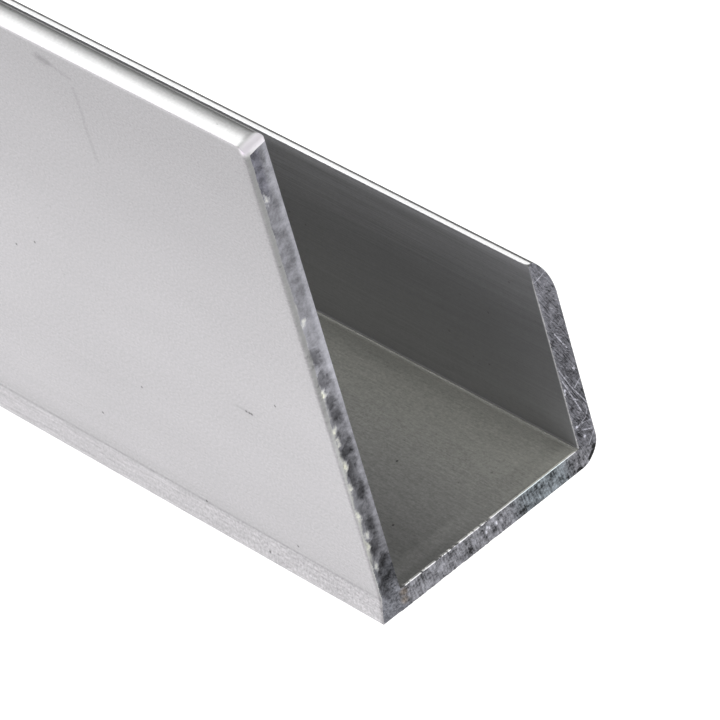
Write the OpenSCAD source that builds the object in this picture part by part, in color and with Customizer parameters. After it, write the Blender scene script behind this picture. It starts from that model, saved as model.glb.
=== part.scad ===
// Aluminium J channel: one length of extruded stock, cut square at both ends.
// Millimetres. X runs along the length, with the photographed cut end at +X.
// Y runs from the long leg to the short leg. Z goes up the legs from the underside of the web.

/* [Stock] */
// Length of the cut piece along X
length = 304.8; // [50:1:3000]
// Width over the two legs, outer face to outer face, without the heel rib
overall_width = 19.05; // [8:0.05:60]
// Thickness of the web and of both legs
wall = 1.65; // [0.8:0.05:4]

/* [Legs] */
// Height of the long leg above the underside of the web
long_leg_height = 38.5; // [10:0.1:120]
// Height of the short leg above the underside of the web
short_leg_height = 16.94; // [6:0.02:80]

/* [Long leg's tip] */
// Radius of the half dome that rises across the tip from a crisp outer edge
long_tip_dome_radius = 5; // [3:0.1:20]
// Radius of the round between the top of that dome and the inner face
long_tip_edge_radius = 0.33; // [0.05:0.01:0.6]

/* [Short leg's tip] */
// Radius of the long nose on the outer side of the tip
short_nose_radius = 5.4; // [4.2:0.1:20]
// How far below the top of the leg that nose starts
short_nose_rise = 3.44; // [1:0.02:4]
// Radius of the small round between the nose and the top of the tip
short_tip_edge_radius = 0.25; // [0.05:0.01:0.5]
// Slope of the top of the tip, falling towards the inner face, in degrees
short_tip_slope = 18; // [2:1:40]

/* [Corners] */
// Radius of the outer corner between the web and the short leg
outer_corner_radius = 1.8; // [0.2:0.1:4]
// Radius of the two inner corners between the web and the legs
inner_corner_radius = 0.12; // [0.05:0.01:3]

/* [Heel rib] */
// How far the rib along the foot of the long leg stands out from its outer face
heel_rib_proud = 0.3; // [0.05:0.05:1.5]
// Height at which the slope of the heel rib meets the long leg's outer face
heel_rib_height = 2; // [0.5:0.1:8]
// Height of the heel rib's upright foot, below its slope
heel_rib_foot = 0.25; // [0.1:0.05:2]

/* [Hidden] */
body_colour = [0.78, 0.78, 0.79];
arc_facets = 96;
whole_width = overall_width + heel_rib_proud;
dome_end_y = wall - long_tip_edge_radius;
nose_centre_y = overall_width - short_nose_radius;
nose_centre_z = short_leg_height - short_nose_rise;
tip_edge_z = short_leg_height - short_tip_edge_radius;
tip_edge_y = nose_centre_y + sqrt(pow(short_nose_radius - short_tip_edge_radius, 2)
    - pow(tip_edge_z - nose_centre_z, 2));
tip_edge_angle = atan2(tip_edge_z - nose_centre_z, tip_edge_y - nose_centre_y);
overlap = 1;

// The J with every corner left sharp, from the heel rib round to the long leg's tip and back.
module sharp_outline() {
    polygon([
        [-heel_rib_proud, 0],
        [overall_width, 0],
        [overall_width, short_leg_height + overlap / 2],
        [overall_width - wall, short_leg_height + overlap / 2],
        [overall_width - wall, wall],
        [wall, wall],
        [wall, long_leg_height + overlap / 2],
        [0, long_leg_height + overlap / 2],
        [0, heel_rib_height],
        [-heel_rib_proud, heel_rib_foot]
    ]);
}

// What is taken off the outer side of the long leg's tip to leave its half dome.
module long_dome_cut() {
    difference() {
        translate([-overlap, long_leg_height - overlap])
            square([overlap + dome_end_y, 2 * overlap]);
        translate([dome_end_y, long_leg_height - long_tip_dome_radius])
            circle(r = long_tip_dome_radius, $fn = arc_facets);
    }
}

// What is taken off between that dome and the inner face to leave a round.
module long_edge_cut() {
    difference() {
        translate([dome_end_y, long_leg_height - long_tip_edge_radius])
            square([long_tip_edge_radius + overlap, long_tip_edge_radius + overlap]);
        translate([dome_end_y, long_leg_height - long_tip_edge_radius])
            circle(r = long_tip_edge_radius, $fn = arc_facets);
    }
}

// What is taken off the outer side of the short leg's tip to leave its nose.
module short_nose_cut() {
    difference() {
        translate([nose_centre_y, nose_centre_z])
            square([short_nose_radius + overlap, short_nose_radius + overlap]);
        translate([nose_centre_y, nose_centre_z])
            circle(r = short_nose_radius, $fn = arc_facets);
    }
}

// What is taken off above the sloping top of the short leg's tip.
module short_top_cut() {
    translate([tip_edge_y, tip_edge_z])
        rotate(short_tip_slope)
            translate([-2 * wall, short_tip_edge_radius])
                square([2 * wall, 2 * overlap]);
}

// What is taken off between that top and the nose to leave a small round.
module short_edge_cut() {
    reach = 2 * overlap;
    turn = 90 + short_tip_slope - tip_edge_angle;
    translate([tip_edge_y, tip_edge_z])
        rotate(tip_edge_angle)
            difference() {
                polygon([
                    [0, 0],
                    [reach, 0],
                    [reach * cos(turn / 2) * 1.2, reach * sin(turn / 2) * 1.2],
                    [reach * cos(turn), reach * sin(turn)]
                ]);
                circle(r = short_tip_edge_radius, $fn = arc_facets);
            }
}

// What is taken off the square outer corner between the web and the short leg.
module outer_corner_cut() {
    difference() {
        translate([overall_width - outer_corner_radius, -overlap])
            square([outer_corner_radius + overlap, outer_corner_radius + overlap]);
        translate([overall_width - outer_corner_radius, outer_corner_radius])
            circle(r = outer_corner_radius, $fn = arc_facets);
    }
}

// The fillet in the corner between the web and the long leg.
module inner_fillet_section() {
    difference() {
        translate([wall / 2, wall / 2])
            square([wall / 2 + inner_corner_radius, wall / 2 + inner_corner_radius]);
        translate([wall + inner_corner_radius, wall + inner_corner_radius])
            circle(r = inner_corner_radius, $fn = arc_facets);
    }
}

// The whole J, seen along the length.
module channel_section() {
    difference() {
        union() {
            sharp_outline();
            inner_fillet_section();
            translate([overall_width, 0])
                mirror([1, 0])
                    inner_fillet_section();
        }
        long_dome_cut();
        long_edge_cut();
        short_nose_cut();
        short_top_cut();
        short_edge_cut();
        outer_corner_cut();
    }
}

// The one piece of stock, centred on the frame's origin and standing on Z = 0.
module j_channel() {
    color(body_colour)
        translate([-length / 2, heel_rib_proud - whole_width / 2, 0])
            rotate([90, 0, 90])
                linear_extrude(height = length)
                    channel_section();
}

j_channel();
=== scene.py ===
import math
from types import SimpleNamespace

import bpy
from mathutils import Matrix, Vector


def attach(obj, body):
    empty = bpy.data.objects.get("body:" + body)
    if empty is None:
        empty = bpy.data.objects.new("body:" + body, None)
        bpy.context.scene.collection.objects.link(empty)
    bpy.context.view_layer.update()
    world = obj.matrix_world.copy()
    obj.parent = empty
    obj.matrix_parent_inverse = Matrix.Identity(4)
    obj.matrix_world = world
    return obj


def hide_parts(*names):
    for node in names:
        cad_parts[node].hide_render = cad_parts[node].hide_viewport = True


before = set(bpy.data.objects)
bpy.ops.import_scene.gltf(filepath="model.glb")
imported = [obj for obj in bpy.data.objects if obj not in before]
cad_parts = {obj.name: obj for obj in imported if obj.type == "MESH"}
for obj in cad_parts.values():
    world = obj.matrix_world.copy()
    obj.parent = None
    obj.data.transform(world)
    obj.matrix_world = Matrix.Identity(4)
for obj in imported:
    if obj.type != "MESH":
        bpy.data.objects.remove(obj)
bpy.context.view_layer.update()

MM = 0.001

# The drawn section in millimetres and radians, with the same values as the part's source.
SECTION = {
    "Length": 304.8,
    "Overall Width": 19.05,
    "Wall": 1.65,
    "Long Leg Height": 38.5,
    "Short Leg Height": 16.94,
    "Tip Dome Radius": 5.0,
    "Tip Edge Radius": 0.33,
    "Nose Radius": 5.4,
    "Nose Rise": 3.44,
    "Nose Edge Radius": 0.25,
    "Nose Edge Slope": math.radians(18),
    "Outer Corner Radius": 1.8,
    "Inner Corner Radius": 0.12,
    "Heel Rib Proud": 0.3,
    "Heel Rib Height": 2.0,
    "Heel Rib Foot": 0.25,
}

# How the saw left the two ends, in millimetres, and the seed of the patterns.
SAW_CUT = {
    "Cut Set Back": 0.1,
    "End Row Step": 0.06,
    "Foot Roll": 0.1,
    "Tip Roll": 0.3,
    "Tip End Roll": 0.8,
    "Pit Depth": 0.15,
    "Web Burr Height": 0.09,
    "Saw Mark Depth": 0.03,
    "Seed": 4.0,
}

# The named inputs of the Geometry Nodes tree.
ALL_SIZES = {**SECTION, **SAW_CUT}

HALF_LENGTH = SECTION["Length"] / 2
WIDTH = SECTION["Overall Width"]
WALL = SECTION["Wall"]
LONG_TOP = SECTION["Long Leg Height"]
RIB_TOP = SECTION["Heel Rib Height"]
SHORT_INSIDE = WIDTH - WALL

# Rows of points along, round and through the blank that the section is drawn from.
ROWS_ALONG = 31
ROWS_AROUND = 1101
ROWS_THROUGH = 14
# Edges that turn by more than this stay crisp.
SHARP_EDGE = math.radians(35)
# On the short leg's tip the outer path stops this many millimetres short of the inner one.
LAST_EDGE = 0.03

# How unevenly the saw worked. Runs are millimetres round the section: from the long leg's tip,
# or from the first or the second bend where the name says so. Depths are millimetres in from the cut.
SAWN = SimpleNamespace(
    long_ends_at_first_bend=(-1.5, -0.3),
    web_starts_at_first_bend=(-0.2, 0.8),
    short_starts_at_second_bend=(-1.2, 0.4),
    tip_roll_runs=(16.0, 32.0),
    torn_runs=(12.0, 17.0),
    fine_roll=0.22,
    coarse_roll=0.16,
    torn_roll=0.5,
    least_long_roll=0.03,
    corner_roll=0.05,
    broken_edge=0.02,
    nibble_noise=(0.35, 0.75),
    nibble_roll=0.05,
    dash_noise=(0.42, 0.52),
    whole_lip_from_first_bend=(8.5, 10.0),
    whole_lip_least=0.6,
    lip_depths=(0.02, 0.2),
    lip_lift=0.6,
    tip_reach=1.2,
    nose_share=0.25,
    face_depth=0.05,
    tear_depth=0.5,
    chip_share=0.25,
    nick_share=0.15,
)


def marks(places, full, end, stretch=(1.0, 1.0), ragged=0.0):
    """Marks of one kind, seen in full up to one distance from their places and gone at another.

    Distances are millimetres after the stretch, and a noise swings them by the ragged amount.
    """
    return SimpleNamespace(places=places, full=full, end=end, stretch=stretch, ragged=ragged)


# Marks on the cut, in millimetres: across from the long leg's outer face, and up from the underside.
PITS = marks([
    (0.60, 21.6), (0.75, 19.7), (0.80, 17.8), (0.88, 16.8), (0.77, 13.9), (0.77, 12.3), (0.83, 11.4),
    (1.00, 10.4), (0.95, 7.6), (0.80, 5.9), (1.10, 4.4), (0.85, 3.2), (0.75, 2.2)
], 0.1, 0.95, (1.7, 0.9), 2.0)
CHIPS = marks([
    (0.50, 34.1), (0.48, 24.5), (0.45, 18.7), (0.40, 15.8), (0.42, 14.8), (0.42, 12.9), (0.30, 11.0),
    (0.28, 8.8), (0.42, 7.2), (0.40, 6.2), (0.38, 4.4)
], 0.02, 0.4, (1.5, 0.8), -1.0)
NICKS = marks([
    (18.18, 0.42), (18.34, 0.50), (18.50, 0.68), (18.64, 1.00), (17.05, 0.12)
], 0.2, 0.34, (1.0, 1.3), 0.25)
FLECKS = marks([
    (18.71, 7.53), (17.74, 3.28), (18.15, 2.21), (17.56, 6.40), (17.52, 6.20), (9.30, 1.05),
    (8.95, 0.95), (9.85, 1.05), (9.10, 1.20)
], 0.04, 0.16, (1.4, 0.9), 0.7)
STAINS = marks([(1.8, 1.3), (1.7, 0.7)], 0.05, 0.45, ragged=0.3)
CUT_SCRATCHES = marks([
    ((17.55, 8.12), (18.10, 6.45)), ((18.10, 6.45), (18.77, 4.97)), ((18.77, 4.97), (19.00, 4.35)),
    ((18.26, 6.05), (19.00, 6.55)), ((18.75, 4.60), (18.84, 3.99)), ((18.84, 3.99), (18.60, 3.50)),
    ((18.60, 3.50), (17.75, 3.20)), ((18.02, 3.32), (19.00, 3.05)), ((18.05, 2.80), (18.83, 2.39)),
    ((18.36, 5.10), (18.09, 5.38)), ((18.54, 15.67), (18.15, 15.52)), ((18.15, 15.52), (17.50, 15.40)),
    ((17.60, 7.20), (18.40, 4.20)), ((17.95, 10.90), (18.60, 9.30)), ((18.90, 2.10), (18.30, 1.40))
], 0.015, 0.06, ragged=0.05)
# The far end has the same tears and scratches, this many millimetres lower.
FAR_TEAR_SHIFT = 2.3
FAR_SCRATCH_SHIFT = 5.0

# Marks on the long leg's outer face: along from the cut, and up.
SPECKS = marks([
    (-30.43, 17.74), (-28.04, 18.94), (-20.63, 10.12), (-26.55, 5.18), (-17.15, 2.04), (-8.65, 13.51),
    (-8.96, 13.51), (-8.43, 13.51), (-5.42, 15.60), (-11.03, 0.81), (-7.82, 2.70)
], 0.05, 0.13)
FAINT_SPECKS = marks([
    (-24.66, 23.38), (-20.71, 24.68), (-26.64, 21.54), (-22.27, 15.77), (-17.72, 17.82), (-19.04, 9.86),
    (-18.12, 10.29), (-15.40, 6.97), (-9.86, 16.87), (-25.66, 17.32)
], 0.03, 0.12)
SMUDGES = marks([(-20.08, 37.18), (-19.71, 37.12)], 0.05, 0.75, (0.8, 1.3), 0.5)
BRIGHT_MARKS = marks([
    (-17.21, 4.88), (-16.90, 4.60), (-7.95, 8.89), (-8.20, 9.00)
], 0.01, 0.13, (0.6, 1.0), 0.1)
FACE_SCRATCHES = marks([
    ((-19.27, 37.10), (-18.19, 36.83)), ((-18.19, 36.83), (-17.28, 36.66)),
    ((-17.32, 35.89), (-17.20, 34.41)), ((-17.20, 34.41), (-17.26, 32.81)),
    ((-17.26, 32.81), (-17.18, 30.23)), ((-9.94, 13.57), (-9.07, 13.57)),
    ((-9.07, 13.57), (-8.41, 13.50))
], 0.05, 0.25, ragged=0.15)
# Specks on the web's upper side: along from the cut, and across from the long leg's outer face.
WEB_SPECKS = marks([(-9.58, 9.97), (-5.10, 5.54)], 0.06, 0.12)

# Patterns on the flattened sheet: their stretch along, round and through it, detail and roughness.
SHEET_PATTERN = SimpleNamespace(
    die_lines=((0.03, 7.0, 4.0), 4.0, 0.75),
    grain=((5.0, 7.0, 4.0), 3.0, 0.7),
    clouds=((0.08, 0.2, 0.3), 2.0, 0.5),
    brushing=((1.2, 9.0, 4.0), 3.0, 0.7),
    fine_lines=((0.12, 16.0, 4.0), 3.0, 0.8),
)

# Where the zones of the drawn skin start and end, in millimetres.
# Across and up are measured on the section, and from_cut counts in from the nearer end.
SKIN_ZONE = SimpleNamespace(
    face_across=(0.02, 0.1),
    face_lines_up=(8.0, 18.0),
    face_top_shade_up=(16.0, 38.0),
    tip_up=(LONG_TOP - 0.5, LONG_TOP - 0.2),
    tip_edge_across=(1.36, 1.46),
    inside_across=(WALL - 0.05, WALL + 0.05, SHORT_INSIDE, SHORT_INSIDE + 0.1),
    leg_across=(SHORT_INSIDE - 0.2, SHORT_INSIDE - 0.05),
    leg_upper_light_up=(10.5, 16.5),
    leg_lines_up=(10.0, 14.0),
    leg_shade_up=(3.0, 7.0),
    leg_shade_from_cut=(0.0, 24.0),
    leg_top_highlight_up=(16.0, 16.6),
    web_light_by_short_leg_across=(9.0, 16.5),
    web_shade_across=(15.3, 16.6),
    web_shade_from_cut=(6.0, 20.0),
    shade_by_long_leg_across=(3.0, 11.0),
    web_strip_from_cut=(0.8, 1.2, 1.9, 2.5),
    web_strip_across=(5.0, 14.0),
    web_warm_across=(5.0, 16.0),
    corner_shade_line_across=(SHORT_INSIDE - 0.12, SHORT_INSIDE - 0.1),
    corner_highlight_across=(SHORT_INSIDE - 0.04, SHORT_INSIDE - 0.02),
    corner_highlight_up=(WALL + 0.13, WALL + 0.19),
    corner_middle_up=(WALL + 0.04, WALL + 0.05),
    corner_glow_across=(SHORT_INSIDE - 0.35, SHORT_INSIDE - 0.2),
    corner_glow_up=(WALL + 0.01, WALL + 0.03),
    band_up=(RIB_TOP - 0.12, RIB_TOP),
    rib_shade_line_off=(0.02, 0.2),
    rib_shade_off=(0.0, 1.6),
    band_grain_from_cut=(5.0, 30.0),
    torn_from_cut=(0.35, 0.9),
    rim_from_cut=(0.12, 0.45),
    rim_across=(0.3, 0.5),
    rim_up=(14.0, 18.0, 37.3, 37.8),
    burr_across=(1.9, 2.1, 17.0, 17.2),
    burr_start_up=(WALL + 0.01, WALL + 0.03),
    burr_end_up=(2.0, 2.1),
    tip_end_highlight_up=(LONG_TOP - 1.0, LONG_TOP - 0.5),
    tip_end_highlight_from_cut=(0.3, 0.75),
    dust_off=(0.03, 0.06),
)

# The drawn skin's plain, darkest and lightest tone, and how much each pattern, zone or mark changes it,
# painted light and shade among them.
SKIN = SimpleNamespace(
    tone=0.45, die_lines=0.06, grain=0.20, clouds=0.05,
    face_grain=0.22, face_lines=0.08, face_dull=0.11, face_top_shade=0.10,
    tip_highlight=0.25, tip_edge_shade=0.62, inside_dull_and_shade=0.33,
    leg_upper_light=0.45, leg_lines=0.7, leg_lines_high=0.9, leg_light=0.21, leg_top_highlight=0.5,
    leg_shade_by_cut=0.18, leg_shade_by_cut_high=0.25,
    web_brushing=0.22, web_grain=0.15, web_light_by_short_leg=0.58, web_shade=0.22, web_base_shade=0.18,
    shade_by_long_leg=0.3, web_strip_by_cut=0.2, web_strip_drop_by_short_leg=0.3,
    corner_shade_line=0.5, corner_highlight=0.9, corner_glow=0.25,
    rib_shade_line=0.14, rib_shade=0.07, band_lines=1.1, band_bright=0.11,
    band_grain_by_cut=0.8, band_dull_by_cut=0.05,
    speck=0.75, faint_speck=0.3, scratch=0.16, smudge=0.3, bright_mark=0.12, dust=0.35,
    pit_shade=0.55, nick_shade=0.9, chip=0.25, rim=0.3, burr=0.5, tip_end_highlight_cover=0.9, tip_end_highlight=0.98,
    darkest=0.02, lightest=0.98,
)

# The drawn skin's warm and lilac tints, the lilac on the long tip's end a painted reflection, its metal
# and roughness, and its bumps, the last in millimetres.
SKIN_LOOK = SimpleNamespace(
    web_warm=0.04, web_warm_by_leg=0.05, corner_warm=0.15, chip_warm=0.12, leg_cool=0.05,
    tip_end_highlight_lilac=1.3, lilac_less_green=0.026, lilac_blue=0.008,
    metal=0.82, inside_less_metal=0.45, tip_less_metal=0.3,
    rough=0.22, lines_rough=0.08, grain_rough=0.08, band_rough=0.05, tip_end_rough=0.38, rim_rough=0.3,
    lines_high=0.5, grain_high=0.5, band_high=1.5, bump=0.15, bump_height=0.03,
)

# Where the zones of the sawn ends start and end, in millimetres across or up the section,
# or as levels of a noise for the last three.
CUT_ZONE = SimpleNamespace(
    long_across=(WALL, WALL + 0.5),
    short_across=(SHORT_INSIDE - 0.4, SHORT_INSIDE + 0.3),
    short_up=(0.9, 2.2),
    web_light_across=(9.5, 12.5),
    short_light_up=(9.0, 15.0),
    corner_light_across=(18.6, 19.0),
    corner_light_up=(2.0, 5.0),
    short_edge_across=(17.42, 17.72),
    long_light_up=(16.0, 20.0, 23.0, 27.0),
    long_dark_up=(14.0, 19.0),
    foot_up=(3.5, 5.5),
    heel_up=(1.6, 2.8),
    inner_light_across=(1.15, 1.45),
    inner_light_up=(4.0, 9.0),
    cream_across=(0.1, 0.42),
    cream_up=(4.0, 6.0, 26.0, 29.0),
    flakes_across=(0.02, 0.2),
    flakes_up=(1.4, 2.2, 4.5, 5.5),
    navy_across=(0.75, 1.15),
    navy_up=(33.0, 35.5),
    calm_grain_up=(1.8, 3.0),
    burr_up=(WALL - 0.03, WALL + 0.02),
    burr_across=(1.9, 2.1, 17.1, 17.3),
    teal_across=(10.5, 13.0, 15.5, 17.0),
    hair_noise=(0.58, 0.7),
    crossed_noise=(0.62, 0.72),
    scratch_grain=(0.3, 0.6),
)

# The plain tones of the sawn web and legs, and how much each pattern, zone or mark changes them, painted
# shade in the pits and nicks and a painted glint on the burr among them.
CUT = SimpleNamespace(
    web=0.18, web_light=0.04, web_streaks=0.5, web_mottle=0.8,
    short=0.10, short_light=0.05, short_streaks=0.6, short_mottle=0.35,
    hairs=0.16, crossed=0.1, corner_light=0.12, short_edge=0.08, short_edge_ragged=0.35,
    long=0.22, long_light=0.07, long_dark=0.08, foot_dark=0.06, heel_light=0.12, long_mottle=0.42,
    inner_light=0.10, inner_ragged=0.3, cream=0.3, cream_mottled=0.9, cream_grained=0.5,
    flakes_ragged=0.9, navy=0.07, grain=0.7, long_grain_less=0.4, short_grain_less=0.35,
    pit_shade=0.5, nick_shade=0.95, chip=0.35, scratch=0.27, fleck=0.45, burr=0.9,
    darkest=0.02, lightest=0.95,
)

# The sawn ends' cool and warm tints, their roughness, and their bumps, the last in millimetres.
CUT_LOOK = SimpleNamespace(
    cool=0.09, navy_cool=0.08, short_cool=0.03, torn_warm=0.15, burr_warm=0.08, stain_warm=0.2,
    stain_red=0.15, teal_less_red=0.1, foot_less_red=0.04, foot_less_green=0.02,
    rough=0.36, mottle_rough=0.2, grain_rough=0.15, scratch_smooth=0.1,
    streaks_high=0.8, grain_high=0.6, scratch_deep=0.6, bump=0.4, bump_height=0.08,
)

# How far apart the noises of the two ends are read, so that the ends differ.
ENDS_APART = SimpleNamespace(edges=9.0, dashes=5.0, streaks=3.0, faces=5.0)
# How far one step of the seed moves the patterns along the flattened sheet, in millimetres.
SEED_STEP = 7.0


class Term:
    """A number inside a node tree. Arithmetic on it draws Math nodes."""

    def __init__(self, tree, socket):
        self.tree = tree
        self.socket = socket

    def math(self, operation, *others):
        node = self.tree.nodes.new("ShaderNodeMath")
        node.operation = operation
        for slot, value in zip(node.inputs, (self,) + others):
            plug(self.tree, slot, value)
        return Term(self.tree, node.outputs[0])

    def __add__(self, other):
        return self.math("ADD", other)

    __radd__ = __add__

    def __sub__(self, other):
        return self.math("SUBTRACT", other)

    def __rsub__(self, other):
        return (self * -1.0) + other

    def __mul__(self, other):
        return self.math("MULTIPLY", other)

    __rmul__ = __mul__

    def __truediv__(self, other):
        return self.math("DIVIDE", other)

    def __pow__(self, other):
        return self.math("POWER", other)

    def root(self):
        return self.math("SQRT")

    def size(self):
        return self.math("ABSOLUTE")

    def within(self, low, high):
        return self.math("MAXIMUM", low).math("MINIMUM", high)

    def swing(self, reach):
        """Turns a noise round 0.5 into one round 0, as wide as reach."""
        return (self - 0.5) * reach

    def ramp(self, start, end, low=0.0, high=1.0):
        """Goes from low at start to high at end and stays there, with soft ends."""
        node = self.tree.nodes.new("ShaderNodeMapRange")
        node.interpolation_type = "SMOOTHSTEP"
        for slot, value in zip(node.inputs, (self, start, end, low, high)):
            plug(self.tree, slot, value)
        return Term(self.tree, node.outputs[0])

    def fade(self, start, end):
        """Falls from 1 at start to 0 at end and stays there, with soft ends."""
        return self.ramp(start, end, 1.0, 0.0)

    def between(self, start, full, last_full, end):
        """Rises from 0 at start to 1 at full, and falls from 1 at last_full to 0 at end."""
        return self.ramp(start, full) * self.fade(last_full, end)


def link(thing):
    bpy.context.scene.collection.objects.link(thing)


def plug(tree, slot, value):
    """Links a Term or a socket into a slot, or sets a plain value on it."""
    if isinstance(value, Term):
        tree.links.new(value.socket, slot)
    elif isinstance(value, bpy.types.NodeSocket):
        tree.links.new(value, slot)
    else:
        slot.default_value = value


def add(tree, kind, settings=None, **inputs):
    """Adds a node, with its settings and the inputs named in lower case with underscores."""
    node = tree.nodes.new(kind)
    for name, value in (settings or {}).items():
        setattr(node, name, value)
    slots = {}
    for slot in node.inputs:
        if slot.enabled:
            slots.setdefault(slot.name.lower().replace(" ", "_"), slot)
    for name, value in inputs.items():
        plug(tree, slots[name], value)
    return node


def vector(tree, x, y, z):
    return add(tree, "ShaderNodeCombineXYZ", x=x, y=y, z=z).outputs[0]


def split(tree, where):
    """The X, Y and Z of a vector."""
    return [Term(tree, part) for part in add(tree, "ShaderNodeSeparateXYZ", vector=where).outputs]


def noise(tree, where, scale=1.0, detail=2.0, roughness=0.5):
    node = add(tree, "ShaderNodeTexNoise", vector=where, scale=scale, detail=detail, roughness=roughness)
    return Term(tree, node.outputs[0])


def vector_math(tree, operation, first, second):
    """A socket with the vector, or a Term where the operation gives one number."""
    node = tree.nodes.new("ShaderNodeVectorMath")
    node.operation = operation
    plug(tree, node.inputs[0], first)
    plug(tree, node.inputs["Scale"] if operation == "SCALE" else node.inputs[1], second)
    if operation in ("DISTANCE", "DOT_PRODUCT"):
        return Term(tree, node.outputs["Value"])
    return node.outputs["Vector"]


def spots(tree, where, kind, ragged=None):
    """From 1 on the nearest round mark of a kind to 0 beside it."""
    aways = []
    stretch = kind.stretch
    spread = vector_math(tree, "MULTIPLY", where, (stretch[0], stretch[1], 0.0))
    for place in kind.places:
        centre = (place[0] * stretch[0], place[1] * stretch[1], 0.0)
        aways.append(vector_math(tree, "DISTANCE", spread, centre))
    return mark_shape(aways, kind, ragged)


def scratches(tree, where, kind, ragged):
    """From 1 on the nearest straight scratch of a kind to 0 beside it."""
    aways = []
    for start, end in kind.places:
        along = Vector((end[0] - start[0], end[1] - start[1], 0.0))
        from_start = vector_math(tree, "SUBTRACT", where, (start[0], start[1], 0.0))
        share = vector_math(tree, "DOT_PRODUCT", from_start, tuple(along / along.length_squared))
        foot = vector_math(tree, "SCALE", tuple(along), share.within(0.0, 1.0))
        aways.append(vector_math(tree, "DISTANCE", from_start, foot))
    return mark_shape(aways, kind, ragged)


def mark_shape(aways, kind, ragged):
    """Turns the distances from the marks into the nearest mark, its outline made ragged by a noise."""
    nearest = aways[0]
    for away in aways[1:]:
        nearest = nearest.math("MINIMUM", away)
    if ragged is not None:
        nearest = nearest + ragged.swing(kind.ragged)
    return nearest.fade(kind.full, kind.end)


def torn_edge(tree, across, up, far_end):
    """Where the saw tore pits and raised chips along the long leg, and nicked the outer corner."""
    level = up + far_end * FAR_TEAR_SHIFT
    where = vector(tree, across, level, 0.0)
    ragged = noise(tree, vector(tree, across * 2.6 + level * 0.7, level * 1.9 - across, 1.7),
                   detail=4.0, roughness=0.65)
    nicks = spots(tree, vector(tree, across, up, 0.0), NICKS, ragged)
    return spots(tree, where, PITS, ragged), spots(tree, where, CHIPS, ragged), nicks


# The drawn and sawn shape.


def outer_path(size, run):
    """The point (across, up) of the section's outer line at a run along its middle line."""
    wall, width = size["Wall"], size["Overall Width"]
    tall, short = size["Long Leg Height"], size["Short Leg Height"]
    dome, tip_edge = size["Tip Dome Radius"], size["Tip Edge Radius"]
    corner, proud = size["Outer Corner Radius"], size["Heel Rib Proud"]
    outer_tip = tall - dome + (dome * dome - (wall - tip_edge) * (wall - tip_edge)).root()
    first_turn, second_turn = bends(size, run)

    outer_run = run + (wall + proud + outer_tip - tall) * first_turn + wall * second_turn
    up = outer_tip - outer_run.within(0.0, outer_tip)
    heel = (size["Heel Rib Height"] - up) / (size["Heel Rib Height"] - size["Heel Rib Foot"])
    across = heel.within(0.0, 1.0) * proud * -1.0
    left = outer_run - outer_tip
    across = across + left.within(0.0, width + proud - corner)
    left = left - width - proud + corner
    turn = (left / (corner * 2)).within(0.0, 1.0) * (math.pi / 2)
    across = across + corner * turn.math("SINE")
    up = up + corner - corner * turn.math("COSINE")

    # The short leg's nose, the small round above it and the sloping top.
    nose, rise = size["Nose Radius"], size["Nose Rise"]
    edge, slope = size["Nose Edge Radius"], size["Nose Edge Slope"]
    edge_start, ramp_length = nose_sizes(size)
    edge_turn = slope + math.pi / 2 - edge_start
    left = left - corner * 2
    up = up + left.within(0.0, short - rise - corner)
    left = (left - short + rise + corner) * ((nose * edge_start + edge * edge_turn + ramp_length) / rise)
    nose_turn = (left / nose).within(0.0, edge_start)
    across = across + nose * nose_turn.math("COSINE") - nose
    up = up + nose * nose_turn.math("SINE")
    left = left - nose * edge_start
    turned = edge_start + (left / edge).within(0.0, edge_turn)
    across = across + edge * (turned.math("COSINE") - edge_start.math("COSINE"))
    up = up + edge * (turned.math("SINE") - edge_start.math("SINE"))
    down_ramp = (left - edge * edge_turn).within(0.0, ramp_length - LAST_EDGE)
    across = across - down_ramp * slope.math("COSINE")
    up = up - down_ramp * slope.math("SINE")
    return across, up


def inner_path(size, run):
    """The point (across, up) of the section's inner line at a run along its middle line."""
    wall, width = size["Wall"], size["Overall Width"]
    tall, short = size["Long Leg Height"], size["Short Leg Height"]
    tip_edge, fillet = size["Tip Edge Radius"], size["Inner Corner Radius"]
    edge, slope = size["Nose Edge Radius"], size["Nose Edge Slope"]
    inner_start = tall - tip_edge + tip_edge * (math.pi / 2)
    first_turn, second_turn = bends(size, run)

    inner_run = run - (wall + tall - inner_start) * first_turn - wall * second_turn
    tip_turn = (inner_run / tip_edge).within(0.0, math.pi / 2)
    down_leg = inner_run - tip_edge * (math.pi / 2)
    up = tall - tip_edge + tip_edge * tip_turn.math("COSINE")
    up = up - down_leg.within(0.0, tall - tip_edge - wall - fillet)
    left = inner_run - inner_start + wall + fillet
    turn = (left / (fillet * 2)).within(0.0, 1.0) * (math.pi / 2)
    across = wall + fillet - fillet * turn.math("COSINE")
    across = across + tip_edge * (tip_turn.math("SINE") - 1.0)
    up = up - fillet * turn.math("SINE")
    left = left - fillet * 2
    across = across + left.within(0.0, width - wall * 2 - fillet * 2)
    left = left - width + wall * 2 + fillet * 2
    turn = (left / (fillet * 2)).within(0.0, 1.0) * (math.pi / 2)
    across = across + fillet * turn.math("SINE")
    up = up + fillet - fillet * turn.math("COSINE")
    ramp_length = nose_sizes(size)[1]
    inner_edge = short - edge + edge * slope.math("COSINE") - ramp_length * slope.math("SINE")
    climb = (left - fillet * 2).within(0.0, short - wall - fillet)
    up = up + climb * ((inner_edge - wall - fillet) / (short - wall - fillet))
    return across, up


def bends(size, run):
    """How far a run has come round the first and the second bend, each from 0 to 1."""
    wall = size["Wall"]
    first_bend = size["Long Leg Height"] - wall / 2
    second_bend = first_bend + size["Overall Width"] - wall
    return [((run - bend + wall) / (wall * 2)).within(0.0, 1.0) for bend in (first_bend, second_bend)]


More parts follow.
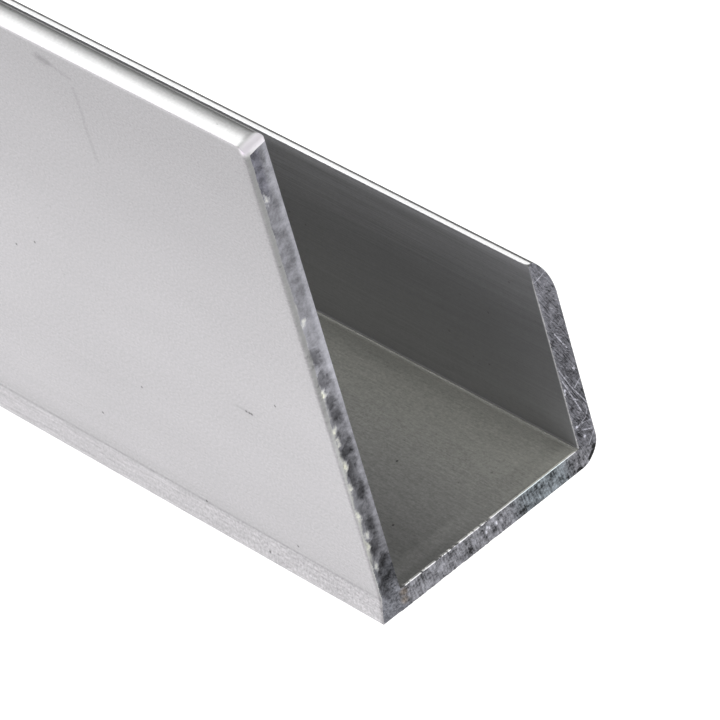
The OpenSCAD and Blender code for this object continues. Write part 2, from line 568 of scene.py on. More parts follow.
def nose_sizes(size):
    """The angle at which the short leg's small round starts, and the length of its sloping top."""
    nose, rise = size["Nose Radius"], size["Nose Rise"]
    edge, slope = size["Nose Edge Radius"], size["Nose Edge Slope"]
    edge_out = ((nose - edge) * (nose - edge) - (rise - edge) * (rise - edge)).root()
    edge_start = (rise - edge).math("ARCTAN2", edge_out)
    ramp_top = size["Overall Width"] - nose + edge_out - edge * slope.math("SINE")
    ramp_length = (ramp_top - size["Overall Width"] + size["Wall"]) / slope.math("COSINE")
    return edge_start, ramp_length


def tip_bulge(size, across):
    """How far the long leg's half dome stands above the straight line between its two ends."""
    dome, end = size["Tip Dome Radius"], size["Wall"] - size["Tip Edge Radius"]
    outer_drop = dome - (dome * dome - end * end).root()
    reach = end - across.within(0.0, end)
    drop = dome - (dome * dome - reach * reach).root()
    return outer_drop * reach / end - drop


def roll_over(edge, radius):
    """How far a surface has curved in at a distance edge from the cut, where the edge is rolled."""
    left = (1.0 - edge / radius).within(0.0, 1.0)
    return radius * (1.0 - (1.0 - left * left).root())


def channel_tree(drawn, sawn):
    """The Geometry Nodes tree that draws the section along X and roughens its sawn ends."""
    tree = bpy.data.node_groups.new("drawn_j_channel", "GeometryNodeTree")
    tree.is_modifier = True
    tree.interface.new_socket("Geometry", in_out="INPUT", socket_type="NodeSocketGeometry")
    for name, value in ALL_SIZES.items():
        socket = tree.interface.new_socket(name, in_out="INPUT", socket_type="NodeSocketFloat")
        socket.default_value = value
    tree.interface.new_socket("Geometry", in_out="OUTPUT", socket_type="NodeSocketGeometry")
    given = tree.nodes.new("NodeGroupInput")
    size = {name: Term(tree, given.outputs[name]) for name in ALL_SIZES}

    block = add(tree, "GeometryNodeMeshCube", size=(1.0, 1.0, 1.0),
                vertices_x=ROWS_ALONG, vertices_y=ROWS_AROUND, vertices_z=ROWS_THROUGH)
    normal = tree.nodes.new("GeometryNodeInputNormal").outputs[0]
    on_cut = split(tree, normal)[0].size().math("GREATER_THAN", 0.5)
    mark_cut = add(tree, "GeometryNodeStoreNamedAttribute", {"data_type": "FLOAT", "domain": "FACE"},
                   geometry=block.outputs[0], name="sawn", value=on_cut)
    moved, sheet = drawn_place(tree, size)
    unrolled = add(tree, "GeometryNodeStoreNamedAttribute",
                   {"data_type": "FLOAT_VECTOR", "domain": "POINT"},
                   geometry=mark_cut.outputs[0], name="sheet", value=sheet)
    shaped = add(tree, "GeometryNodeSetPosition", geometry=unrolled.outputs[0], position=moved)

    turn = Term(tree, tree.nodes.new("GeometryNodeInputMeshEdgeAngle").outputs[0])
    smooth = add(tree, "GeometryNodeSetShadeSmooth", {"domain": "FACE"},
                 geometry=shaped.outputs[0], shade_smooth=True)
    creased = add(tree, "GeometryNodeSetShadeSmooth", {"domain": "EDGE"}, geometry=smooth.outputs[0],
                  selection=turn.math("GREATER_THAN", SHARP_EDGE), shade_smooth=False)
    whole = add(tree, "GeometryNodeRealizeInstances", geometry=creased.outputs[0])
    kept = add(tree, "GeometryNodeInputNamedAttribute", {"data_type": "FLOAT"}, name="sawn")
    skin = add(tree, "GeometryNodeSetMaterial", geometry=whole.outputs[0], material=drawn)
    ends = add(tree, "GeometryNodeSetMaterial", geometry=skin.outputs[0], material=sawn,
               selection=Term(tree, kept.outputs[0]).math("GREATER_THAN", 0.5))
    result = tree.nodes.new("NodeGroupOutput")
    tree.links.new(ends.outputs[0], result.inputs[0])
    return tree


def drawn_place(tree, size):
    """Where each point of the blank goes in metres, and its place on the flattened sheet."""
    wall, width, seed = size["Wall"], size["Overall Width"], size["Seed"]
    position = tree.nodes.new("GeometryNodeInputPosition").outputs[0]
    along, around, inward = split(tree, position)
    along = along * 2.0
    middle_line = size["Long Leg Height"] + size["Short Leg Height"] + width - wall * 2
    run = (around + 0.5) * middle_line
    depth = inward + 0.5

    # Rows stand close together at the two cuts and far apart in the middle of the length.
    from_end = 1.0 - along.size()
    near_rows = size["End Row Step"] * ((ROWS_ALONG - 1) / 2)
    edge = (size["Length"] / 2 - size["Cut Set Back"] - near_rows) * from_end ** 5.0
    edge = near_rows * from_end + edge
    side = along.math("SIGN")
    sheet_along = side * (size["Length"] / 2 - edge) + seed * SEED_STEP
    sheet = vector(tree, sheet_along, run, depth * wall)

    outer_in, inner_in, lip = edge_rolls(tree, size, run, depth, edge, side)
    through = outer_in + depth * (1.0 - outer_in - inner_in)
    tip_in = roll_over(edge, size["Tip End Roll"])
    from_tip = 1.0 - (run / SAWN.tip_reach).within(0.0, 1.0)
    from_nose = 1.0 - ((middle_line - run) / SAWN.tip_reach).within(0.0, 1.0)
    run = run + tip_in * (from_tip - from_nose * SAWN.nose_share)

    outer, inner = outer_path(size, run), inner_path(size, run)
    across = outer[0] + (inner[0] - outer[0]) * through
    up = outer[1] + (inner[1] - outer[1]) * through
    up = up + tip_bulge(size, across) * from_tip

    # The saw leaves the end faces slightly set back, with its own marks and torn pits.
    at_cut = 1.0 - (edge / SAWN.face_depth).within(0.0, 1.0)
    near_cut = 1.0 - (edge / SAWN.tear_depth).within(0.0, 1.0)
    pits, chips, nicks = torn_edge(tree, across, up, side.math("LESS_THAN", 0.0))
    streak = noise(tree, vector(tree, across * 6.0, up, side * ENDS_APART.streaks + seed), roughness=0.6)
    relief = size["Saw Mark Depth"] * streak * at_cut
    torn = pits - chips * SAWN.chip_share + nicks * SAWN.nick_share
    relief = relief + size["Pit Depth"] * torn * near_cut
    lift = lip * SAWN.lip_lift * at_cut
    x = side * (size["Length"] / 2 - size["Cut Set Back"] - edge - relief + lift)
    moved = vector(tree, x * MM, (across - width / 2 + size["Heel Rib Proud"] / 2) * MM, up * MM)
    return moved, sheet


def edge_rolls(tree, size, run, depth, edge, side):
    """How far the outer and inner edges are rolled in, as shares of the wall, and the web's burr."""
    wall, seed = size["Wall"], size["Seed"]
    edge_line = vector(tree, side * ENDS_APART.edges + seed, run, depth * wall * 0.5)
    coarse = noise(tree, edge_line, scale=0.9, detail=3.0, roughness=0.6)
    fine = noise(tree, edge_line, scale=4.0, detail=3.0, roughness=0.7)
    teeth = noise(tree, edge_line, scale=1.7, detail=3.0, roughness=0.6)
    dash_line = vector(tree, side * ENDS_APART.dashes + seed, run, 0.0)
    dashes = noise(tree, dash_line, scale=2.6, roughness=0.6)
    past_first_bend = run - size["Long Leg Height"] + wall / 2
    past_second_bend = past_first_bend - size["Overall Width"] + wall
    on_long = past_first_bend.fade(*SAWN.long_ends_at_first_bend)
    on_short = past_second_bend.ramp(*SAWN.short_starts_at_second_bend)
    on_web = past_first_bend.ramp(*SAWN.web_starts_at_first_bend) * (1.0 - on_short)

    # The saw rolled the long leg's outer edge over, most of all towards its tip.
    long_roll = size["Foot Roll"] + (size["Tip Roll"] - size["Foot Roll"]) * run.fade(*SAWN.tip_roll_runs)
    long_roll = long_roll + fine.swing(SAWN.fine_roll) + coarse.swing(SAWN.coarse_roll)
    long_roll = long_roll + run.ramp(*SAWN.torn_runs) * teeth.swing(SAWN.torn_roll)
    long_roll = long_roll.math("MAXIMUM", SAWN.least_long_roll)
    corner_roll = SAWN.corner_roll + fine.swing(SAWN.corner_roll)
    outer_roll = long_roll * on_long + corner_roll * (1.0 - on_long) + SAWN.broken_edge
    nibbled = SAWN.broken_edge + fine.ramp(*SAWN.nibble_noise) * SAWN.nibble_roll
    inner_roll = on_short * nibbled + SAWN.broken_edge

    # The burr along the web is broken into dashes by the long leg and whole towards the short one.
    whole_lip = past_first_bend.ramp(*SAWN.whole_lip_from_first_bend)
    whole_height = SAWN.whole_lip_least + fine * (1.0 - SAWN.whole_lip_least)
    lip_height = dashes.ramp(*SAWN.dash_noise) * (1.0 - whole_lip) + whole_height * whole_lip
    lip = edge.fade(*SAWN.lip_depths) * size["Web Burr Height"] * on_web * lip_height
    return roll_over(edge, outer_roll) / wall, roll_over(edge, inner_roll) / wall - lip / wall, lip


def make_plain(piece, name):
    """Turns what the piece's modifier makes into a plain mesh object of its own."""
    ready = piece.evaluated_get(bpy.context.evaluated_depsgraph_get())
    plain = bpy.data.objects.new(name, bpy.data.meshes.new_from_object(ready))
    plain.data.name = name
    link(plain)
    bpy.data.objects.remove(piece)
    return plain


def make_channel(drawn, sawn):
    tree = channel_tree(drawn, sawn)
    blank = bpy.data.objects.new("channel_blank", bpy.data.meshes.new("channel_blank"))
    link(blank)
    modifier = blank.modifiers.new("drawn_section", "NODES")
    modifier.node_group = tree
    for item in tree.interface.items_tree:
        if item.in_out == "INPUT" and item.name in ALL_SIZES:
            modifier[item.identifier] = ALL_SIZES[item.name]
    return make_plain(blank, "j_channel_stock")


# Finishes.


def new_finish(name):
    finish = bpy.data.materials.new(name)
    finish.use_nodes = True
    tree = finish.node_tree
    return finish, tree, tree.nodes["Principled BSDF"]


def part_place(tree):
    """Along, across and up in millimetres, from the middle, the long leg's outer face and the foot."""
    where = add(tree, "ShaderNodeTexCoord").outputs["Object"]
    along, across, up = (part * (1.0 / MM) for part in split(tree, where))
    return along, across + (WIDTH - SECTION["Heel Rib Proud"]) / 2, up


def tinted(tree, tone, red, green, blue):
    colour = add(tree, "ShaderNodeCombineColor", red=tone * red, green=tone * green, blue=tone * blue)
    return colour.outputs[0]


def sheet_pattern(tree, sheet, stretch, detail, roughness):
    where = vector_math(tree, "MULTIPLY", sheet, stretch)
    return noise(tree, where, detail=detail, roughness=roughness)


def drawn_skin(tree):
    """What the drawn surface knows of each point: its place, the patterns there and its zones."""
    skin = SimpleNamespace(tree=tree)
    skin.along, skin.across, skin.up = part_place(tree)
    skin.from_cut = HALF_LENGTH - skin.along.size()
    skin.sheet = add(tree, "ShaderNodeAttribute", {"attribute_name": "sheet"}).outputs["Vector"]
    for name, pattern in vars(SHEET_PATTERN).items():
        setattr(skin, name, sheet_pattern(tree, skin.sheet, *pattern))
    sheet_along = split(tree, skin.sheet)[0]
    skin.band_lines = noise(tree, vector(tree, sheet_along * 0.35, skin.up * 6.0, 3.0),
                            detail=4.0, roughness=0.75)

    skin.face = skin.across.fade(*SKIN_ZONE.face_across)
    skin.tip = skin.up.ramp(*SKIN_ZONE.tip_up)
    skin.tip_edge = skin.tip * skin.across.ramp(*SKIN_ZONE.tip_edge_across)
    skin.inside = skin.across.between(*SKIN_ZONE.inside_across) * (1.0 - skin.tip)
    skin.leg = skin.inside * skin.across.ramp(*SKIN_ZONE.leg_across)
    skin.web = skin.inside * (1.0 - skin.leg)
    skin.band = skin.face * skin.up.fade(*SKIN_ZONE.band_up)
    skin.torn = skin.from_cut.fade(*SKIN_ZONE.torn_from_cut)
    skin.rim = skin.from_cut.fade(*SKIN_ZONE.rim_from_cut) * skin.across.fade(*SKIN_ZONE.rim_across)
    skin.tip_end_highlight = skin.up.ramp(*SKIN_ZONE.tip_end_highlight_up) * (1.0 - skin.inside)
    skin.tip_end_highlight = skin.tip_end_highlight * skin.from_cut.fade(*SKIN_ZONE.tip_end_highlight_from_cut)
    skin.corner_shade_line = skin.inside * skin.across.ramp(*SKIN_ZONE.corner_shade_line_across)
    skin.corner_shade_line = skin.corner_shade_line * skin.up.fade(*SKIN_ZONE.corner_middle_up)
    return skin


def plain_skin_tone(skin):
    """Satin metal with a grain, with a painted highlight on the long leg's tip, painted shade high on the
    outer face, and darker inside: painted shade, partly the inside's own duller tone.
    """
    grain, up = skin.grain, skin.up
    tone = SKIN.tone + skin.die_lines.swing(SKIN.die_lines) + grain.swing(SKIN.grain)
    tone = tone + skin.clouds.swing(SKIN.clouds)
    face_lines = skin.die_lines.swing(SKIN.face_lines) * up.fade(*SKIN_ZONE.face_lines_up)
    tone = tone + skin.face * (grain.swing(SKIN.face_grain) + face_lines)
    # The outer face's own duller tone, plus painted shade that darkens it towards its top.
    face_dull = SKIN.face_dull + up.ramp(*SKIN_ZONE.face_top_shade_up) * SKIN.face_top_shade
    # Inside the channel: painted shade, partly the inside's own duller tone.
    dull = skin.inside * SKIN.inside_dull_and_shade + skin.face * face_dull
    # Painted highlight on the long leg's tip; painted shade inside and high on the face.
    return tone * (1.0 + skin.tip * SKIN.tip_highlight - dull)


def inside_tone(skin, tone):
    """The short leg's inner face, the web's upper side and the corner between them, with painted light
    and shade on them.
    """
    across, up, from_cut = skin.across, skin.up, skin.from_cut
    line_swing = SKIN.leg_lines + up.ramp(*SKIN_ZONE.leg_lines_up) * SKIN.leg_lines_high
    # Painted light on the short leg's inner face, lighter towards its top.
    leg_upper_light = up.ramp(*SKIN_ZONE.leg_upper_light_up) * SKIN.leg_upper_light
    tone = tone * (1.0 + skin.leg * (leg_upper_light + skin.fine_lines.swing(line_swing)))
    tone = tone + skin.web * (skin.brushing.swing(SKIN.web_brushing) + skin.grain.swing(SKIN.web_grain))
    # Painted light on the short leg's inner face, cut back near the cut by painted shade, most of all
    # above its lowest few millimetres.
    by_cut = SKIN.leg_shade_by_cut + up.ramp(*SKIN_ZONE.leg_shade_up) * SKIN.leg_shade_by_cut_high
    by_cut = by_cut * from_cut.fade(*SKIN_ZONE.leg_shade_from_cut)
    tone = tone * (1.0 + skin.leg * (SKIN.leg_light - by_cut))

    # Painted light and shade on the web: darker all over, lighter towards the short leg, and painted
    # shade beside the short leg away from the cut.
    shade = across.ramp(*SKIN_ZONE.web_shade_across) * from_cut.ramp(*SKIN_ZONE.web_shade_from_cut)
    web_light = across.ramp(*SKIN_ZONE.web_light_by_short_leg_across) * SKIN.web_light_by_short_leg
    tone = tone * (1.0 + skin.web * (web_light - shade * SKIN.web_shade - SKIN.web_base_shade))
    # A strip of the web a little in from the cut: lighter towards the long leg, darker towards the short
    # one.
    web_strip_by_cut = SKIN.web_strip_by_cut - across.ramp(*SKIN_ZONE.web_strip_across) * SKIN.web_strip_drop_by_short_leg
    tone = tone * (1.0 + skin.web * from_cut.between(*SKIN_ZONE.web_strip_from_cut) * web_strip_by_cut)
    # Painted shade on the web beside the long leg.
    shade_by_long_leg = skin.web * across.fade(*SKIN_ZONE.shade_by_long_leg_across) * SKIN.shade_by_long_leg
    # Painted highlight along the top of the short leg's inner face.
    leg_top_highlight = skin.leg * up.ramp(*SKIN_ZONE.leg_top_highlight_up) * SKIN.leg_top_highlight
    # Painted shade on the inner edge of the long leg's tip.
    tone = tone * (1.0 - skin.tip_edge * SKIN.tip_edge_shade - shade_by_long_leg + leg_top_highlight)

    # The inner corner: a painted highlight on the fillet, a painted glow beside it on the web, and a
    # painted shade line in the crease.
    corner_highlight = skin.inside * across.ramp(*SKIN_ZONE.corner_highlight_across)
    corner_highlight = corner_highlight * up.ramp(*SKIN_ZONE.corner_middle_up) * up.fade(*SKIN_ZONE.corner_highlight_up)
    glow = skin.inside * across.ramp(*SKIN_ZONE.corner_glow_across) * up.fade(*SKIN_ZONE.corner_glow_up)
    corner = corner_highlight * SKIN.corner_highlight + glow * SKIN.corner_glow - skin.corner_shade_line * SKIN.corner_shade_line
    return tone * (1.0 + corner)


def foot_band_tone(skin, tone):
    """The drawn band along the long leg's foot, with painted shade in the crease above it."""
    off_rib = (skin.up - RIB_TOP).size()
    # Painted shade: a dark line in the crease above the heel rib, and a wider shade above it.
    dull = skin.face * off_rib.fade(*SKIN_ZONE.rib_shade_line_off) * SKIN.rib_shade_line
    dull = dull + skin.face * (1.0 - skin.band) * off_rib.fade(*SKIN_ZONE.rib_shade_off) * SKIN.rib_shade
    by_cut = skin.from_cut.fade(*SKIN_ZONE.band_grain_from_cut)
    by_cut = by_cut * (skin.grain.swing(SKIN.band_grain_by_cut) - SKIN.band_dull_by_cut)
    band_tone = skin.band_lines.swing(SKIN.band_lines) + SKIN.band_bright + by_cut
    return tone * (1.0 - dull + skin.band * band_tone)


def worn_tone(skin, tone):
    """A few specks, smudges and scratches, and fine dust away from the outer face."""
    tree, face = skin.tree, skin.face
    on_face = vector(tree, skin.along - HALF_LENGTH, skin.up, 0.0)
    on_web = vector(tree, skin.along - HALF_LENGTH, skin.across, 0.0)
    wavy = noise(tree, vector(tree, skin.along * 2.0, skin.up * 2.0, skin.across))
    speck = face * spots(tree, on_face, SPECKS) + skin.inside * spots(tree, on_web, WEB_SPECKS)
    speck = speck + face * spots(tree, on_face, FAINT_SPECKS) * SKIN.faint_speck
    speck = speck + face * scratches(tree, on_face, FACE_SCRATCHES, wavy) * SKIN.scratch
    smudge = face * spots(tree, on_face, SMUDGES, wavy)
    bright = face * spots(tree, on_face, BRIGHT_MARKS, wavy)
    grains = vector_math(tree, "MULTIPLY", skin.sheet, (0.5, 0.5, 1.0))
    dust = add(tree, "ShaderNodeTexVoronoi", {"feature": "F1"}, vector=grains, scale=1.0)
    dust = Term(tree, dust.outputs["Distance"]).fade(*SKIN_ZONE.dust_off) * (1.0 - face)
    marks_tone = bright * SKIN.bright_mark - speck * SKIN.speck - smudge * SKIN.smudge - dust * SKIN.dust
    return tone * (1.0 + marks_tone)


def sawn_edge_tone(skin, tone, pits, chips, nicks):
    """Torn metal where the saw came through, with painted shade in its pits and nicks, the web's burr
    with a painted glint, and a painted highlight on the long tip's rolled end.
    """
    # Painted shade in the torn pits and nicks.
    tone = tone * (1.0 - skin.torn * (pits * SKIN.pit_shade + nicks * SKIN.nick_shade))
    tone = tone + chips * skin.torn * SKIN.chip
    tone = tone * (1.0 - skin.rim * skin.up.between(*SKIN_ZONE.rim_up) * SKIN.rim)
    # A real burr along the web, its bright line a painted glint.
    burr = skin.up.ramp(*SKIN_ZONE.burr_start_up) * skin.up.fade(*SKIN_ZONE.burr_end_up)
    burr = burr * skin.torn * skin.across.between(*SKIN_ZONE.burr_across)
    # Painted highlight: the long tip's rolled end made almost white.
    tone = tone * (1.0 - skin.tip_end_highlight * SKIN.tip_end_highlight_cover) + skin.tip_end_highlight * SKIN.tip_end_highlight
    return (tone + burr * SKIN.burr).within(SKIN.darkest, SKIN.lightest)


def satin_mill_finish():
    """The drawn surfaces: satin aluminium with die lines, fine grain, specks, smudges and scratches, and
    painted light and shade.
    """
    finish, tree, shader = new_finish("satin_mill_aluminium")
    skin = drawn_skin(tree)
    pits, chips, nicks = torn_edge(tree, skin.across, skin.up, skin.along.math("LESS_THAN", 0.0))
    tone = foot_band_tone(skin, inside_tone(skin, plain_skin_tone(skin)))
    tone = sawn_edge_tone(skin, worn_tone(skin, tone), pits, chips, nicks)

    look = SKIN_LOOK
    warm = look.web_warm + skin.across.ramp(*SKIN_ZONE.web_warm_across) * look.web_warm_by_leg
    warm = skin.web * warm + skin.corner_shade_line * look.corner_warm + chips * skin.torn * look.chip_warm
    warm = warm - skin.leg * look.leg_cool
    # The outer face tinted lilac, the long tip's rolled end more so: there a painted reflection.
    lilac = skin.face + skin.tip_end_highlight * look.tip_end_highlight_lilac
    green, blue = 1.0 - lilac * look.lilac_less_green, 1.0 + lilac * look.lilac_blue - warm
    plug(tree, shader.inputs["Base Color"], tinted(tree, tone, 1.0, green, blue))
    dull = skin.inside * look.inside_less_metal + (skin.tip_edge + skin.tip_end_highlight) * look.tip_less_metal
    plug(tree, shader.inputs["Metallic"], look.metal - dull)
    roughness = look.rough + skin.die_lines * look.lines_rough + skin.grain * look.grain_rough
    roughness = roughness + skin.band * look.band_rough
    roughness = roughness + skin.tip_end_highlight * look.tip_end_rough + skin.rim * look.rim_rough
    plug(tree, shader.inputs["Roughness"], roughness)
    height = skin.die_lines * look.lines_high + skin.grain * look.grain_high
    height = height + skin.band * skin.band_lines * look.band_high
    bump = add(tree, "ShaderNodeBump", height=height, strength=look.bump, distance=look.bump_height * MM)
    plug(tree, shader.inputs["Normal"], bump.outputs[0])
    return finish


def sawn_face(tree):
    """What the sawn end knows of each point: its place, the patterns there and its zones."""
    face = SimpleNamespace(tree=tree)
    along, across, up = part_place(tree)
    far_end = along.math("LESS_THAN", 0.0)
    face.across, face.up, face.far_end = across, up, far_end
    layer = far_end * ENDS_APART.faces
    face.grain = noise(tree, vector(tree, across * 5.5, up * 5.5, layer), detail=4.0, roughness=0.75)
    face.mottle = noise(tree, vector(tree, across * 1.3, up * 1.3, layer + 2.0),
                        detail=3.0, roughness=0.55)
    face.cross_streaks = noise(tree, vector(tree, across * 6.0 + up * 0.8, up * 0.9, far_end + 4.0),
                               detail=3.0, roughness=0.6)
    face.slant_streaks = slanting(face, 0.4, 10.0, 0.8, detail=4.0, roughness=0.7)
    face.hairs = slanting(face, 0.9, 12.0, 0.6, detail=2.0, roughness=0.6)
    face.crossed = slanting(face, -0.7, 10.0, 0.6, detail=2.0, roughness=0.6)
    face.on_long = across.fade(*CUT_ZONE.long_across)
    face.on_short = across.ramp(*CUT_ZONE.short_across) * up.ramp(*CUT_ZONE.short_up)
    face.on_web = (1.0 - face.on_long) * (1.0 - face.on_short)
    face.foot = face.on_long * up.fade(*CUT_ZONE.foot_up)
    return face


def slanting(face, lean, crosswise, lengthwise, detail, roughness):
    """Streaks that lean by a share, with their scales crosswise and lengthwise."""
    where = vector(face.tree, (face.across + face.up * lean) * crosswise,
                   (face.up - face.across * lean) * lengthwise, face.far_end)
    return noise(face.tree, where, detail=detail, roughness=roughness)


def cut_web_tone(face):
    tone = CUT.web + face.across.fade(*CUT_ZONE.web_light_across) * CUT.web_light
    return tone + face.cross_streaks.swing(CUT.web_streaks) + face.mottle.swing(CUT.web_mottle)


def cut_short_leg_tone(face):
    across, up = face.across, face.up
    tone = CUT.short + up.ramp(*CUT_ZONE.short_light_up) * CUT.short_light
    tone = tone + face.slant_streaks.swing(CUT.short_streaks) + face.mottle.swing(CUT.short_mottle)
    tone = tone + face.hairs.ramp(*CUT_ZONE.hair_noise) * CUT.hairs
    tone = tone + face.crossed.ramp(*CUT_ZONE.crossed_noise) * CUT.crossed
    corner = across.ramp(*CUT_ZONE.corner_light_across) * up.fade(*CUT_ZONE.corner_light_up)
    ragged_edge = across + face.grain.swing(CUT.short_edge_ragged)
    edge = ragged_edge.fade(*CUT_ZONE.short_edge_across)
    return tone + corner * CUT.corner_light + edge * CUT.short_edge


def cut_long_leg_tone(face, cream, navy):
    across, up, mottle = face.across, face.up, face.mottle
    tone = CUT.long + up.between(*CUT_ZONE.long_light_up) * CUT.long_light
    tone = tone - up.fade(*CUT_ZONE.long_dark_up) * CUT.long_dark
    tone = tone - up.fade(*CUT_ZONE.foot_up) * CUT.foot_dark
    tone = tone + up.fade(*CUT_ZONE.heel_up) * CUT.heel_light + mottle.swing(CUT.long_mottle)
    inner_edge = (across + mottle.swing(CUT.inner_ragged)).ramp(*CUT_ZONE.inner_light_across)
    tone = tone + inner_edge * up.ramp(*CUT_ZONE.inner_light_up) * CUT.inner_light
    return tone + cream * CUT.cream - navy * CUT.navy


def cream_edge(face):
    """Pale torn metal along the outer side of the long leg, with smaller flakes at its foot."""
    ragged = face.across + face.mottle.swing(CUT.cream_mottled) + face.grain.swing(CUT.cream_grained)
    cream = ragged.fade(*CUT_ZONE.cream_across) * face.on_long * face.up.between(*CUT_ZONE.cream_up)
    flakes = (face.across + face.grain.swing(CUT.flakes_ragged)).fade(*CUT_ZONE.flakes_across)
    return cream + flakes * face.on_long * face.up.between(*CUT_ZONE.flakes_up)


def saw_cut_finish():
    """The sawn end faces: darker, mottled and streaked, with scratches, torn pits and nicks in painted
    shade, and a burr with a painted glint.
    """
    finish, tree, shader = new_finish("saw_cut_aluminium")
    face = sawn_face(tree)
    across, up, grain, mottle = face.across, face.up, face.grain, face.mottle
    on_long, on_short, on_web = face.on_long, face.on_short, face.on_web
    cream = cream_edge(face)
    navy = on_long * across.fade(*CUT_ZONE.navy_across) * up.ramp(*CUT_ZONE.navy_up)
    tone = on_web * cut_web_tone(face) + on_short * cut_short_leg_tone(face)
    tone = tone + on_long * cut_long_leg_tone(face, cream, navy)
    calm = on_long * up.ramp(*CUT_ZONE.calm_grain_up) * CUT.long_grain_less
    tone = tone + grain.swing(CUT.grain - calm - on_short * CUT.short_grain_less)

    pits, chips, nicks = torn_edge(tree, across, up, face.far_end)
    # Painted shade in the torn pits and nicks; the raised chips lighter.
    tone = tone * (1.0 - pits * on_long * CUT.pit_shade - nicks * CUT.nick_shade) + chips * on_long * CUT.chip
    shifted = vector(tree, across, up + face.far_end * FAR_SCRATCH_SHIFT, 0.0)
    scratch = scratches(tree, shifted, CUT_SCRATCHES, grain) * grain.ramp(*CUT_ZONE.scratch_grain)
    fleck = spots(tree, shifted, FLECKS, grain)
    # A real burr along the web, its bright line a painted glint.
    burr = up.ramp(*CUT_ZONE.burr_up) * across.between(*CUT_ZONE.burr_across)
    tone = tone + scratch * CUT.scratch + fleck * CUT.fleck + burr * CUT.burr
    tone = tone.within(CUT.darkest, CUT.lightest)

    # Cool grey, with a warm stain by the long leg's foot and a touch of teal on the web.
    stain = spots(tree, vector(tree, across, up, 0.0), STAINS, mottle)
    look = CUT_LOOK
    warm = (chips + cream) * look.torn_warm + burr * look.burr_warm + stain * look.stain_warm
    blue = 1.0 + look.cool + navy * look.navy_cool + on_short * look.short_cool - warm
    teal = across.between(*CUT_ZONE.teal_across)
    red = 1.0 + stain * look.stain_red - teal * look.teal_less_red - face.foot * look.foot_less_red
    green = 1.0 - face.foot * look.foot_less_green
    plug(tree, shader.inputs["Base Color"], tinted(tree, tone, red, green, blue))
    shader.inputs["Metallic"].default_value = 1.0
    roughness = look.rough + mottle * look.mottle_rough + grain * look.grain_rough
    plug(tree, shader.inputs["Roughness"], roughness - scratch * look.scratch_smooth)
    streaks = face.cross_streaks * on_web + face.slant_streaks * on_short
    height = streaks * look.streaks_high + grain * look.grain_high - scratch * look.scratch_deep
    bump = add(tree, "ShaderNodeBump", height=height, strength=look.bump, distance=look.bump_height * MM)
    plug(tree, shader.inputs["Normal"], bump.outputs[0])
    return finish


# The floor's plain tone, how far its mottling moves it, and where its glow weakens, in metres aside.
FLOOR = SimpleNamespace(tone=0.6, mottle=0.02, mottle_scale=30.0, roughness=0.9,
                        dim_aside=(0.020, 0.042), dim=0.28)


def floor_finish():
    """A pale floor that glows evenly round the stock and a little less further out."""
    finish, tree, shader = new_finish("pale_floor")
    where = add(tree, "ShaderNodeTexCoord").outputs["Object"]
    tone = FLOOR.tone + noise(tree, where, scale=FLOOR.mottle_scale) * FLOOR.mottle
    plug(tree, shader.inputs["Base Color"], tinted(tree, tone, 1.0, 1.0, 1.0))
    shader.inputs["Roughness"].default_value = FLOOR.roughness
    aside = split(tree, where)[1].size()
    shader.inputs["Emission Color"].default_value = (1.0, 1.0, 1.0, 1.0)
    plug(tree, shader.inputs["Emission Strength"], 1.0 - aside.ramp(*FLOOR.dim_aside) * FLOOR.dim)
    return finish


# The studio. The photographed cut end, in metres, is what the camera and the lamps are placed from.

CUT_END = Vector(((HALF_LENGTH - SAW_CUT["Cut Set Back"]) * MM,
                  (SECTION["Heel Rib Proud"] - WIDTH) / 2 * MM, 0.0))
CAMERA_FROM_CUT = Vector((0.28798, -0.17442, 0.28079))
CAMERA_RIGHT = Vector((0.65270, 0.72296, -0.22650))
CAMERA_DOWN = Vector((0.34779, -0.55153, -0.75820))
CAMERA_AHEAD = Vector((-0.67307, 0.41610, -0.61142))
CAMERA_LENS = 348.3
CAMERA_SENSOR = 36.0
CAMERA_CLIP = (0.01, 50.0)
FLOOR_REACH = 4.0
FLOOR_DROP = 0.05 * MM
AIR_GREY = 0.115


def make_floor():
    mesh = bpy.data.meshes.new("studio_floor")
    corners = ((-1, -1), (1, -1), (1, 1), (-1, 1))
    mesh.from_pydata([(x * FLOOR_REACH, y * FLOOR_REACH, -FLOOR_DROP) for x, y in corners],
                     [], [(0, 1, 2, 3)])
    floor = bpy.data.objects.new("studio_floor", mesh)
    link(floor)
    mesh.materials.append(floor_finish())
    return floor


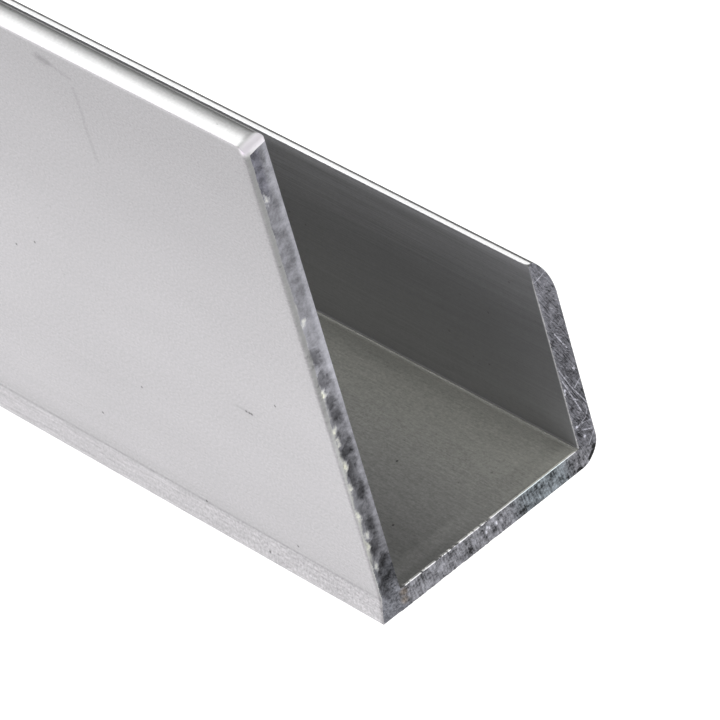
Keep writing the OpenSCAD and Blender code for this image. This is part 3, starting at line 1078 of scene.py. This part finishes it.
def soft_box(name, way, distance, across_way, size, radiance):
    """A lamp that faces the cut end from a distance along way, with its local X axis along across_way."""
    lamp = bpy.data.lights.new(name, "AREA")
    lamp.shape = "RECTANGLE"
    lamp.size, lamp.size_y = size
    lamp.energy = radiance * math.pi * size[0] * size[1]
    box = bpy.data.objects.new(name, lamp)
    back = Vector(way).normalized()
    side = (Vector(across_way) - back * back.dot(Vector(across_way))).normalized()
    turned = Matrix((side, back.cross(side), back)).transposed()
    box.matrix_world = Matrix.Translation(CUT_END + back * distance) @ turned.to_4x4()
    box.visible_camera = False
    link(box)


def arched_box(name, degrees, distance, size, radiance):
    """A soft box that mirrors into the camera, on an arch from the right over the top to the left."""
    turn = math.radians(degrees)
    way = (-0.65, 0.76 * math.cos(turn), 0.76 * math.sin(turn))
    soft_box(name, way, distance, (0.0, -math.sin(turn), math.cos(turn)), size, radiance)


def make_camera():
    data = bpy.data.cameras.new("photo_camera")
    data.lens = CAMERA_LENS
    data.sensor_width = CAMERA_SENSOR
    data.clip_start, data.clip_end = CAMERA_CLIP
    camera = bpy.data.objects.new("photo_camera", data)
    turned = Matrix((CAMERA_RIGHT, -CAMERA_DOWN, -CAMERA_AHEAD)).transposed()
    camera.matrix_world = Matrix.Translation(CUT_END + CAMERA_FROM_CUT) @ turned.to_4x4()
    link(camera)
    bpy.context.scene.camera = camera


def make_lights():
    world = bpy.data.worlds.new("studio_air")
    world.use_nodes = True
    back = world.node_tree.nodes["Background"]
    back.inputs["Color"].default_value = (AIR_GREY, AIR_GREY, AIR_GREY, 1.0)
    bpy.context.scene.world = world
    arched_box("overhead_soft_box", degrees=115, distance=1.3, size=(1.76, 1.2), radiance=2.6)
    soft_box("front_soft_box", way=(0.61, 0.42, 0.67), distance=1.2, across_way=(0.0, 0.0, 1.0),
             size=(0.8, 0.8), radiance=1.2)
    soft_box("top_soft_box", way=(0.35, 0.1, 0.93), distance=1.5, across_way=(0.0, 1.0, 0.0),
             size=(1.0, 1.2), radiance=1.2)


bpy.context.scene.view_settings.view_transform = "Standard"
make_camera()
make_lights()
make_floor()

stock = make_channel(satin_mill_finish(), saw_cut_finish())
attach(stock, "root")
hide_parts("j_channel")
